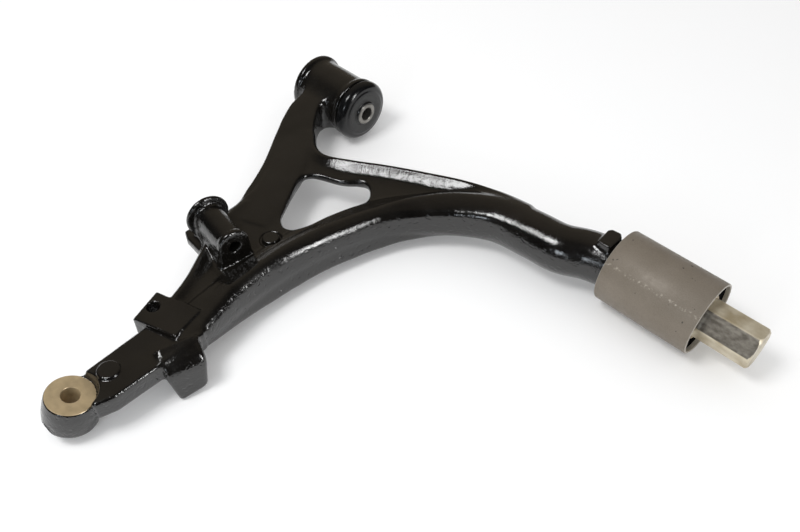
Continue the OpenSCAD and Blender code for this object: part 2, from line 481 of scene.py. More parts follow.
@dataclass(frozen=True)
class Turned(Body):
    """Solid of revolution about any axis, from its half outline of (along, radius) points."""

    origin: Point
    axis: Point
    outline: list[Point]
    edge: float = 0.0

    @property
    def unit(self) -> Array:
        """Unit vector along the axis."""
        a = np.array(self.axis, float)
        return a / np.linalg.norm(a)

    def distance(self, x: Array, y: Array, z: Array) -> Array:
        """Signed distance to the solid, as in Body."""
        a = self.unit
        dx, dy, dz = x - self.origin[0], y - self.origin[1], z - self.origin[2]
        along = dx * a[0] + dy * a[1] + dz * a[2]
        radius = np.sqrt(np.maximum(dx * dx + dy * dy + dz * dz - along * along, 0))
        poly = np.array(self.outline + [(s, -r) for s, r in reversed(self.outline)], float)
        return polygon_field(poly, along, radius) - self.edge

    def box(self) -> tuple[Point, Point]:
        """Box that holds the solid, as in Body."""
        a = self.unit
        reach = max(r for _, r in self.outline) + self.edge
        ends = np.array([np.array(self.origin) + a * s for s, _ in (self.outline[0], self.outline[-1])])
        return tuple(ends.min(0) - reach), tuple(ends.max(0) + reach)


@dataclass(frozen=True)
class Seat:
    """Ball stud seat: place and lean of its axis, and its machined sizes."""

    centre: Point = (-145.4, 411.0, 1.1)
    turn: float = 237.7
    lean: float = 14.4
    face_r: float = 19.0
    taper_r: float = 7.3
    depth: float = 32.0
    taper_loss: float = 2.0

    @property
    def axis(self) -> Array:
        """Unit vector out of the seat face."""
        t, e = math.radians(self.turn), math.radians(self.lean)
        return np.array([math.sin(e) * math.cos(t), math.sin(e) * math.sin(t), math.cos(e)])


@dataclass(frozen=True)
class Lug:
    """Damper lug: rear face centre, turn about the vertical and sizes."""

    centre: Point = (-127.5, 235.3, 22.5)
    turn: float = -9.0
    length: float = 52.0
    barrel_r: float = 13.5
    face_r: float = 14.5
    flange_r: float = 20.6
    flange_t: float = 4.5
    hole_r: float = 5.2

    @property
    def axis(self) -> Array:
        """Unit vector forward along the hole."""
        t = math.radians(self.turn)
        return np.array([math.cos(t), math.sin(t), 0.0])

    def local(self, x: Array, y: Array, z: Array) -> tuple[Array, Array, Array]:
        """Coordinates along the hole, across it and up from it.

        Args:
            x: Forward coordinate.
            y: Outboard coordinate.
            z: Height.

        Returns:
            Along, across and up.
        """
        a = self.axis
        dx, dy = x - self.centre[0], y - self.centre[1]
        return dx * a[0] + dy * a[1], dy * a[0] - dx * a[1], z - self.centre[2]

    def face(self, x: Array, y: Array, z: Array) -> Array:
        """Distance to the D-shaped rear face block.

        Args:
            x: Forward coordinate.
            y: Outboard coordinate.
            z: Height.

        Returns:
            Distance in millimetres.
        """
        s, v, h = self.local(x, y, z)
        rise = h - 2
        plan = np.where(rise > 0, np.hypot(v, rise), np.abs(v) + rise * 0.08) - self.face_r
        return smax(smax(plan, np.abs(s - 3) - 3, 2.5), -26 - h + 0 * s, 0)

    def barrel(self, x: Array, y: Array, z: Array) -> Array:
        """Distance to the barrel and its pedestal.

        Args:
            x: Forward coordinate.
            y: Outboard coordinate.
            z: Height.

        Returns:
            Distance in millimetres.
        """
        s, v, h = self.local(x, y, z)
        plan = np.where(h > 0, np.hypot(v, h), np.abs(v) + 0.05 * h) - self.barrel_r
        return smax(smax(plan, np.abs(s - 25) - 24, 1.0), -26 - h + 0 * s, 0)

    def flange(self, x: Array, y: Array, z: Array) -> Array:
        """Distance to the round front flange.

        Args:
            x: Forward coordinate.
            y: Outboard coordinate.
            z: Height.

        Returns:
            Distance in millimetres.
        """
        s, v, h = self.local(x, y, z)
        half = self.flange_t / 2
        return smax(np.hypot(v, h) - self.flange_r, np.abs(s - self.length + half) - half, 3.0)


@dataclass(frozen=True)
class StopBlock(Body):
    """Rebound stop block on the side of the end bar."""

    corner: Point = (-181.3, 349.5, 0.0)
    turn: float = -105.2
    length: float = 34.8
    depth: float = 20.0
    foot: float = -34.6

    def distance(self, x: Array, y: Array, z: Array) -> Array:
        """Signed distance to the block, as in Body."""
        c, s = math.cos(math.radians(self.turn)), math.sin(math.radians(self.turn))
        dx, dy = x - self.corner[0], y - self.corner[1]
        along = dx * c + dy * s + 0 * z
        inward = -dx * s + dy * c + 0 * z
        front = -inward + 0.11 * z
        side_a = -along + 0.2 * np.maximum(-9 - z, 0)
        side_b = along - self.length + 0.18 * np.maximum(-4 - z, 0)
        top = (z + 0.5 - 0.5 * inward) / 1.12
        bottom = self.foot - z + 0.2 * (along - 7)
        d = smax(front, top, 7.0)
        d = smax(smax(d, side_a, 4.0), side_b, 5.0)
        return smax(smax(d, bottom / 1.02, 3.0), inward - self.depth, 0)

    def box(self) -> tuple[Point, Point]:
        """Box that holds the block, as in Body."""
        return (-196, 312, -35), (-150, 356, 8)


class Forging:
    """Builds the painted body of the arm as one filleted skin."""

    NECK_END = -369.0
    NECK_R = 20.8
    WEB_TOP = 4.0
    WEB_LOW = -3.2
    BAR_TOP = 5.0
    BAR_LOW = -14.0
    PAD_TOP = 10.0
    BEAM = [(-157, 322), (-157, 300), (-154, 262), (-153, 228), (-153, 200), (-156, 172), (-162, 140),
            (-174, 107), (-191, 80), (-218, 50), (-252, 28), (-290, 22), (-318, 19), (-341, 8), (-372, 0)]
    ROUND = [0, 0, 0, 0, 0, 0, 0, 0, 0.1, 0.35, 0.7, 0.95, 1, 1, 1]
    LEAN = [0, 0.02, 0.18, 0.26, 0.3, 0.27, 0.28, 0.26, 0.15, 0.05, 0, 0, 0, 0, 0]
    BEAM_R = [16, 16, 16, 16, 16, 16, 16, 16.5, 17, 18, 19.3, 20.3, 20.8, 20.8, 20.8]
    WEB = [(-132, 318), (-120, 283), (-104, 255), (-94, 251), (-72, 249), (-63, 245), (-64, 222),
           (-70, 193), (-66, 164), (-46, 120), (-52, 88), (-78, 92), (-104, 82), (-138, 61), (-173, 42),
           (-209, 25), (-241, 18), (-252, 28), (-214, 56), (-191, 80), (-174, 107), (-162, 140),
           (-156, 172), (-153, 200), (-153, 228), (-154, 262), (-157, 318)]
    WINDOW = [(-120, 177), (-110.6, 171.5), (-103.5, 160.5), (-95, 146), (-85.8, 130.5), (-82.4, 121),
              (-82.6, 115.5), (-86.5, 110), (-93.4, 105.7), (-102, 102.5), (-110.4, 99.2), (-118.4, 93.3),
              (-125, 86.1), (-131.2, 83.1), (-138.5, 84.5), (-146, 91), (-149.9, 98.9), (-148.9, 106.7),
              (-145.7, 116.7), (-142.4, 130.7), (-140, 143.2), (-138.6, 156.5), (-136.5, 164.8), (-133, 171),
              (-126.5, 175.8)]
    BAR = [(-134, 300), (-132, 338), (-136, 398), (-141, 424), (-152, 414), (-170, 404), (-174, 390),
           (-174, 350), (-172, 306)]
    PAD = [(-110.5, 307), (-122, 338), (-162, 325), (-154, 293), (-137, 297), (-124, 303)]
    SKIRT = [(-104, 250), (-92, 250), (-72, 248), (-64, 244), (-65, 222), (-71, 193), (-92, 204)]
    TAB = [(-348.8, 13.2), (-347.4, -5), (-350, -8.5), (-358.5, -9.4), (-362, -5), (-362, 12), (-360.6, 13.6)]
    ROUND_PAD = (-149.5, 379)
    RING_PAD = (-126.5, 197)
    PAD_HOLE = (-123.0, 319.0)
    PAD_HOLE_R = 5.2

    def __init__(self, step: float, eye_r: float, eye_half: float, bore_r: float) -> None:
        """Keeps the sizes that come from the frame.

        Args:
            step: Grid spacing in millimetres.
            eye_r: Radius of the front eye's barrel.
            eye_half: Half the length of the front eye.
            bore_r: Bore of the front eye.
        """
        self.field = Field((-376, -38, -38), (38, 436, 46), step)
        self.eye_r = eye_r
        self.eye_half = eye_half
        self.bore_r = bore_r
        self.seat = Seat()
        self.lug = Lug()

    def beam_cap(self) -> Ridge:
        """Upper part of the main beam, with its crest.

        Returns:
            The rib.
        """
        return Ridge(
            path=self.BEAM, outer=[11, 12, 7.8, 6.8, 7, 7.9, 9.5, 8.8, 10.5, 14, 18, 20, 20.8, 20.8, 20.8],
            inner=[14, 16, 18, 19, 20, 20, 18, 17, 17, 17, 18, 20, 20, 20, 20],
            crest=[8, 6, 0, -1, -2, -2, -1, -1, -4, -5, 0, 0, 0, 0, 0],
            top=[4.5, 8, 14, 15, 14, 13, 12.5, 12.8, 14.5, 17, 19.3, 20.3, 20.8, 20.8, 20.8],
            fall_out=[0.6, 0.6, 0.6, 0.55, 0.5, 0.45, 0.45, 0.45, 0.4, 0.3, 0.2, 0.1, 0, 0, 0],
            fall_in=[0.1, 0.22, 0.45, 0.45, 0.45, 0.45, 0.45, 0.45, 0.45, 0.4, 0.3, 0.1, 0, 0, 0],
            bottom=[-12, -8, -6, -5, -5, -5, -5, -6, -9, -14, -18, -20, -20.8, -20.8, -20.8],
            radius=self.BEAM_R, roundness=self.ROUND, lean=self.LEAN, outer_right=True, edge=4.0)

    def beam_stem(self) -> Ridge:
        """Deep lower part of the main beam.

        Returns:
            The rib.
        """
        cap = self.beam_cap()
        return Ridge(
            path=self.BEAM, outer=cap.outer, inner=[7, 8, 8, 8, 9, 9, 9, 10, 12, 14, 18, 20, 20.8, 20.8, 20.8],
            crest=cap.crest, top=[v - 3 for v in cap.top], fall_out=cap.fall_out, fall_in=cap.fall_in,
            bottom=[-14, -19.5, -23, -24.5, -25, -25, -25, -25, -24.5, -23, -21.5, -20.8, -20.8, -20.8, -20.8],
            radius=self.BEAM_R, roundness=self.ROUND, lean=self.LEAN, outer_right=True, edge=4.0)

    def inner_rim(self, deep: bool) -> Ridge:
        """Rim from the front leg to the neck.

        Args:
            deep: Whether to make its narrow lower wall or its wide sloping top.

        Returns:
            The rib.
        """
        n = 9
        return Ridge(
            path=[(-38, 74), (-57, 87), (-78, 92), (-104, 82), (-138, 61), (-173, 42), (-209, 25), (-241, 18),
                  (-272, 18)],
            outer=[6, 6.5, 7.6, 7.6, 7, 7, 7, 10, 14],
            inner=[4, 4, 4, 4, 4, 5, 6, 10, 14] if deep else [10, 12, 13, 14, 14, 14, 14, 14, 14],
            crest=[2, 3, 4, 4.5, 4, 4, 3.5, 5, 7], top=[7, 8.5, 10.5, 12.5, 13, 13, 13.8, 15.5, 17.5],
            fall_out=[0.4, 0.5, 0.6, 0.6, 0.6, 0.6, 0.6, 0.6, 0.6],
            fall_in=[0.4, 0.55, 0.8, 0.86, 0.86, 0.86, 0.8, 0.6, 0.5],
            bottom=[-12, -12, -12, -14, -14, -14, -15, -17, -18] if deep else [-4, -4, -4, -4, -4, -4, -6, -12, -18],
            radius=[9, 9, 9, 9, 9, 9, 10, 14, 17],
            roundness=[0, 0, 0, 0, 0, 0, 0, 0.3, 0.6], lean=[0.1] * n, outer_right=False, edge=2.4)

    def outer_rim(self) -> Ridge:
        """Rim from the bracket pad to the damper lug.

        Returns:
            The rib.
        """
        n = 6
        return Ridge(
            path=[(-131, 308), (-120, 280), (-104, 253), (-89, 228), (-79, 204), (-74, 180)],
            outer=[6.5, 6.5, 6.5, 6.5, 7, 7], inner=[12] * n, crest=[2, 2, 2, 2, 2, 2],
            top=[10, 11, 11, 10.5, 9, 6], fall_out=[0.55] * n, fall_in=[0.8] * n,
            bottom=[-13, -12, -10, -9, -9, -9], radius=[8] * n, roundness=[0] * n, lean=[0.1] * n,
            outer_right=False, edge=2.8)

    def leg(self) -> Ridge:
        """Flat leg from the lug to the front eye.

        Returns:
            The rib.
        """
        n = 7
        wide = [17, 19, 20, 20, 17, 15, 15.5]
        return Ridge(
            path=[(-94, 196), (-78, 160), (-58, 124), (-32, 88), (-12, 62), (-1, 40), (0, 14)],
            outer=wide, inner=[20.5, 23, 21.5, 20, 17, 15, 15.5], crest=[0] * n, top=[5, 6, 7.5, 9.5, 11.5, 14, 17],
            fall_out=[0.05] * n, fall_in=[0.08] * n, bottom=[-8, -9, -10, -13, -17, -21.5, -22.8],
            radius=[15] * n, roundness=[0] * n, lean=[0.05] * n, outer_right=True, edge=4.5)

    def put(self, body: Body, k: float) -> None:
        """Joins a body that knows its box.

        Args:
            body: Solid to join.
            k: Reach of the fillet.
        """
        self.field.add(*body.box(), body.distance, k)

    def grow(self) -> None:
        """Adds every body of the forging and takes out its holes."""
        low, web = self.WEB_LOW, self.WEB_TOP
        self.put(Slab(self.WEB, low, web, 2.0), 0)
        self.put(self.leg(), 5)
        self.put(self.beam_stem(), 4)
        self.put(self.beam_cap(), 8)
        self.put(self.inner_rim(False), 7)
        self.put(self.inner_rim(True), 3)
        self.put(self.outer_rim(), 3)
        self.put(Slab(self.SKIRT, -5, 5, 5.0), 4)
        self.field.cut((-150, 80, low - 8), (-77, 178, web + 10),
                       Slab(self.WINDOW, -60, 60, 0, curved=True).distance, 4)
        self.put(Slab(self.BAR, self.BAR_LOW, self.BAR_TOP, 3.5), 6)
        self.put(Slab(self.PAD, self.BAR_LOW, self.PAD_TOP, 1.6), 1.5)
        self.put(StopBlock(), 4)
        self.put(Turned((*self.ROUND_PAD, 0), (0, 0, 1), [(0, 8.0), (self.BAR_TOP + 0.8, 8.0)], 1.2), 1.5)
        self.add_ring_pad()
        self.add_lug()
        self.add_eye()
        self.add_boss()
        self.put(Turned((self.NECK_END - 4, 0, 0), (1, 0, 0), [(0, self.NECK_R), (16, self.NECK_R)]), 2)
        self.put(Slab(self.TAB, 4, 27, 1.2), 4)
        self.bore_holes()

    def add_ring_pad(self) -> None:
        """Adds the small round pad of the web, with the groove round it."""
        web = self.WEB_TOP
        cx, cy = self.RING_PAD
        self.put(Turned((cx, cy, 0), (0, 0, 1), [(0, 7.8), (web + 1.8, 7.8)], 1.2), 0.6)

        def groove(x: Array, y: Array, z: Array) -> Array:
            return np.maximum(np.abs(np.hypot(x - cx, y - cy) - 9.0) - 1.3, web - 1.5 - z)

        self.field.cut((-137, 186, web - 2), (-116, 208, web + 3), groove, 0.6)

    def add_lug(self) -> None:
        """Adds the damper lug's pedestal, faces and flange."""
        lo, hi = (-138, 196, -6), (-63, 262, 45)
        self.field.add(lo, hi, self.lug.barrel, 5)
        self.field.add(lo, hi, self.lug.face, 2.5)
        self.field.add(lo, hi, self.lug.flange, 3)

    def add_eye(self) -> None:
        """Adds the front eye with its end rims."""
        h, r = self.eye_half, self.eye_r
        self.put(Turned((0, 0, 0), (1, 0, 0), [
            (-h + 1, r + 1.1), (-h + 4, r + 1.1), (-h + 6.5, r - 0.7), (-h + 9, r - 1), (h - 11, r - 1),
            (h - 7, r - 0.2), (h - 4, r + 2.3), (h - 1, r + 2.3)], 1.0), 9)

    def add_boss(self) -> None:
        """Adds the ball stud seat boss."""
        s = self.seat
        self.put(Turned(s.centre, tuple(s.axis), [
            (-s.depth + 2, 16.2), (-25.6, 20.0), (-18, 20.2), (-10, 19.6), (-1.8, 18.2)], 1.6), 5)

    def bore_holes(self) -> None:
        """Takes out the bores, the spot face and the end of the neck."""
        f, s, lug = self.field, self.seat, self.lug
        h, b = self.eye_half, self.bore_r
        f.cut((-h, -b, -b), (h, b, b), Turned((0, 0, 0), (1, 0, 0), [(-h - 9, b), (h + 9, b)]).distance, 1.2)
        f.cut((-140, 220, 12), (-60, 245, 32),
              Turned(lug.centre, tuple(lug.axis), [(-9, lug.hole_r), (lug.length + 9, lug.hole_r)]).distance, 1.6)
        x, y = self.PAD_HOLE
        r = self.PAD_HOLE_R
        f.cut((x - r, y - r, -16), (x + r, y + r, 14),
              Turned((x, y, 0), (0, 0, 1), [(-30, r), (30, r)]).distance, 1.2)
        for outline, k in (([(2, s.face_r + 1), (26, s.face_r + 3)], 1.5),
                           ([(-0.25, s.face_r + 0.4), (26, s.face_r + 0.4)], 0.5)):
            f.cut((-175, 380, -8), (-115, 436, 24), Turned(s.centre, tuple(s.axis), outline).distance, k)
        f.cut((-168, 388, -37), (-122, 434, 8), Turned(s.centre, tuple(s.axis), [
            (-s.depth - 6, s.taper_r - s.taper_loss), (4, s.taper_r + 0.4)]).distance, 0.8)
        f.cut((-376, -24, -24), (self.NECK_END, 24, 24), lambda x, y, z: x - self.NECK_END + 0 * y * z, 0)


# ---------------------------------------------------------------- meshes


def add_piece(name: str, points: Array, faces: Array | list[list[int]], body: str, nodes: Sequence[str],
              material: bpy.types.Material, normals: Array | None = None,
              sharp: float | None = None) -> bpy.types.Object:
    """Makes one finished object.

    Args:
        name: Object name.
        points: Vertices in millimetres.
        faces: Corner numbers, one face a row.
        body: CAD body that the piece moves with.
        nodes: CAD nodes that it stands for.
        material: Its material.
        normals: Shading direction at each vertex.
        sharp: Angle in degrees above which an edge shows sharp.

    Returns:
        The object.
    """
    mesh = bpy.data.meshes.new(name)
    mesh.from_pydata((np.asarray(points) * MM).tolist(), [], faces if isinstance(faces, list) else faces.tolist())
    mesh.materials.append(material)
    mesh.polygons.foreach_set("use_smooth", np.ones(len(mesh.polygons), bool))
    mesh.update()
    if sharp is not None:
        mesh.set_sharp_from_angle(angle=math.radians(sharp))
    if normals is not None:
        mesh.normals_split_custom_set_from_vertices(normals.tolist())
    obj = bpy.data.objects.new(name, mesh)
    bpy.context.scene.collection.objects.link(obj)
    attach(obj, body)
    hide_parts(*nodes)
    return obj


def axis_frame(axis: Array) -> Array:
    """Two unit vectors square to an axis.

    Args:
        axis: Unit vector.

    Returns:
        The two vectors, one a row.
    """
    other = np.array([0.0, 0.0, 1.0]) if abs(axis[2]) < 0.9 else np.array([1.0, 0.0, 0.0])
    a = np.cross(other, axis)
    a /= np.linalg.norm(a)
    return np.stack([a, np.cross(axis, a)])


def turned_mesh(outline: Sequence[Point], origin: Point, axis: Array, segments: int,
                closed: bool) -> tuple[Array, Array]:
    """Skin of revolution.

    Args:
        outline: (along, radius) points; a closed outline runs so that the solid is on its right.
        origin: Point on the axis.
        axis: Unit vector.
        segments: Faces round the axis.
        closed: Whether the outline joins up.

    Returns:
        Vertices and quadrilaterals.
    """
    o = np.array(outline, float)
    a, b = axis_frame(axis)
    t = 2 * math.pi * np.arange(segments) / segments
    ring = np.cos(t)[:, None] * a + np.sin(t)[:, None] * b
    points = (np.array(origin) + o[:, 0, None, None] * axis + o[:, 1, None, None] * ring).reshape(-1, 3)
    rows = len(o) if closed else len(o) - 1
    i = np.repeat(np.arange(rows), segments)
    j = np.tile(np.arange(segments), rows)
    n, k = (i + 1) % len(o), (j + 1) % segments
    return points, np.stack([i * segments + j, i * segments + k, n * segments + k, n * segments + j], 1)


def arc(cx: float, cr: float, radius: float, start: float, stop: float, n: int = 6) -> list[Point]:
    """Part of a circle in an outline.

    Args:
        cx: Centre, along the axis.
        cr: Centre, from the axis.
        radius: Radius of the arc.
        start: First angle in degrees, from the axis direction.
        stop: Last angle in degrees.
        n: Number of chords.

    Returns:
        Outline points.
    """
    return [(cx + radius * math.cos(t), cr + radius * math.sin(t))
            for t in (math.radians(start + (stop - start) * k / n) for k in range(n + 1))]


# ---------------------------------------------------------------- materials


class Nodes:
    """Short way to build a shader's node tree."""

    def __init__(self, name: str) -> None:
        """Makes an empty material with an output and a Principled shader.

        Args:
            name: Material name.
        """
        self.material = bpy.data.materials.new(name)
        self.material.use_nodes = True
        self.tree = self.material.node_tree
        self.tree.nodes.clear()
        self.out = self.tree.nodes.new("ShaderNodeOutputMaterial")
        self.shader = self.tree.nodes.new("ShaderNodeBsdfPrincipled")
        self.link(self.shader.outputs["BSDF"], self.out.inputs["Surface"])
        self.coords = self.tree.nodes.new("ShaderNodeTexCoord").outputs["Object"]

    def link(self, a: bpy.types.NodeSocket, b: bpy.types.NodeSocket) -> None:
        """Joins two sockets.

        Args:
            a: Output socket.
            b: Input socket.
        """
        self.tree.links.new(a, b)

    def set(self, **values: object) -> None:
        """Sets constant values of the Principled shader.

        Args:
            **values: Socket names, with underscores for spaces, and their values.
        """
        for key, value in values.items():
            self.shader.inputs[key.replace("_", " ")].default_value = value

    def noise(self, scale: float, detail: float = 3.0, stretch: Point = (1, 1, 1)) -> bpy.types.NodeSocket:
        """Noise in object coordinates.

        Args:
            scale: Features for each metre.
            detail: Noise octaves.
            stretch: Scale along each axis.

        Returns:
            The factor output.
        """
        node = self.tree.nodes.new("ShaderNodeTexNoise")
        node.inputs["Scale"].default_value = scale
        node.inputs["Detail"].default_value = detail
        place = self.tree.nodes.new("ShaderNodeMapping")
        place.inputs["Scale"].default_value = stretch
        self.link(self.coords, place.inputs["Vector"])
        self.link(place.outputs["Vector"], node.inputs["Vector"])
        return node.outputs["Fac"]

    def ramp(self, source: bpy.types.NodeSocket, lo: float, hi: float, a: float | Point,
             b: float | Point) -> bpy.types.NodeSocket:
        """Maps a factor between two values or two colours.

        Args:
            source: Factor socket.
            lo: Factor that gives a.
            hi: Factor that gives b.
            a: Value or (r, g, b) at lo.
            b: Value or (r, g, b) at hi.

        Returns:
            The mapped output.
        """
        span = self.tree.nodes.new("ShaderNodeMapRange")
        span.inputs["From Min"].default_value = lo
        span.inputs["From Max"].default_value = hi
        self.link(source, span.inputs["Value"])
        if isinstance(a, tuple):
            mix = self.tree.nodes.new("ShaderNodeMix")
            mix.data_type = "RGBA"
            mix.inputs["A"].default_value = (*a, 1)
            mix.inputs["B"].default_value = (*b, 1)
            self.link(span.outputs["Result"], mix.inputs["Factor"])
            return mix.outputs["Result"]
        span.inputs["To Min"].default_value = a
        span.inputs["To Max"].default_value = b
        return span.outputs["Result"]

    def mix(self, factor: bpy.types.NodeSocket | float, a: bpy.types.NodeSocket | Point,
            b: bpy.types.NodeSocket | Point) -> bpy.types.NodeSocket:
        """Blends two colours.

        Args:
            factor: Factor, or its socket.
            a: Colour or socket at 0.
            b: Colour or socket at 1.

        Returns:
            The blended colour.
        """
        node = self.tree.nodes.new("ShaderNodeMix")
        node.data_type = "RGBA"
        if isinstance(factor, float):
            node.inputs["Factor"].default_value = factor
        else:
            self.link(factor, node.inputs["Factor"])
        for key, value in (("A", a), ("B", b)):
            if isinstance(value, tuple):
                node.inputs[key].default_value = (*value, 1)
            else:
                self.link(value, node.inputs[key])
        return node.outputs["Result"]

    def math(self, kind: str, a: bpy.types.NodeSocket | float,
             b: bpy.types.NodeSocket | float = 0.0) -> bpy.types.NodeSocket:
        """Arithmetic on two values.

        Args:
            kind: Operation.
            a: First value or socket.
            b: Second value or socket.

        Returns:
            The result.
        """
        node = self.tree.nodes.new("ShaderNodeMath")
        node.operation = kind
        for i, value in enumerate((a, b)):
            if isinstance(value, (int, float)):
                node.inputs[i].default_value = value
            else:
                self.link(value, node.inputs[i])
        return node.outputs[0]

    def axis(self, name: str) -> bpy.types.NodeSocket:
        """One object coordinate.

        Args:
            name: X, Y or Z.

        Returns:
            The coordinate in metres.
        """
        node = self.tree.nodes.new("ShaderNodeSeparateXYZ")
        self.link(self.coords, node.inputs[0])
        return node.outputs[name]

    def radius(self) -> bpy.types.NodeSocket:
        """Distance from the common axis of the bushes.

        Returns:
            The distance in metres.
        """
        y, z = self.axis("Y"), self.axis("Z")
        return self.math("SQRT", self.math("ADD", self.math("MULTIPLY", y, y), self.math("MULTIPLY", z, z)))

    def band(self, name: str, centre: float, half: float) -> bpy.types.NodeSocket:
        """Soft stripe across one object axis, on its outboard side.

        Args:
            name: X, Y or Z.
            centre: Middle of the stripe in metres.
            half: Half its width in metres.

        Returns:
            Factor, 1 on the stripe.
        """
        off = self.math("ABSOLUTE", self.math("SUBTRACT", self.axis(name), centre))
        outboard = self.ramp(self.axis("Y"), 0.0, 0.002, 0.0, 1.0)
        return self.math("MULTIPLY", self.ramp(off, half, 0.2 * half, 0.0, 1.0), outboard)

    def upward(self) -> bpy.types.NodeSocket:
        """How far the surface faces up, from -1 to 1.

        Returns:
            The upward part of the unit normal.
        """
        node = self.tree.nodes.new("ShaderNodeSeparateXYZ")
        self.link(self.tree.nodes.new("ShaderNodeNewGeometry").outputs["Normal"], node.inputs[0])
        return node.outputs["Z"]

    def bump(self, *layers: tuple[bpy.types.NodeSocket, float]) -> None:
        """Adds relief.

        Args:
            *layers: Height sockets and their depths in millimetres.
        """
        normal = None
        for height, depth in layers:
            node = self.tree.nodes.new("ShaderNodeBump")
            node.inputs["Strength"].default_value = 1.0
            node.inputs["Distance"].default_value = depth * MM
            self.link(height, node.inputs["Height"])
            if normal is not None:
                self.link(normal, node.inputs["Normal"])
            normal = node.outputs["Normal"]
        self.link(normal, self.shader.inputs["Normal"])

    def feed(self, key: str, source: bpy.types.NodeSocket) -> None:
        """Drives one input of the Principled shader.

        Args:
            key: Socket name.
            source: Socket that drives it.
        """
        self.link(source, self.shader.inputs[key])


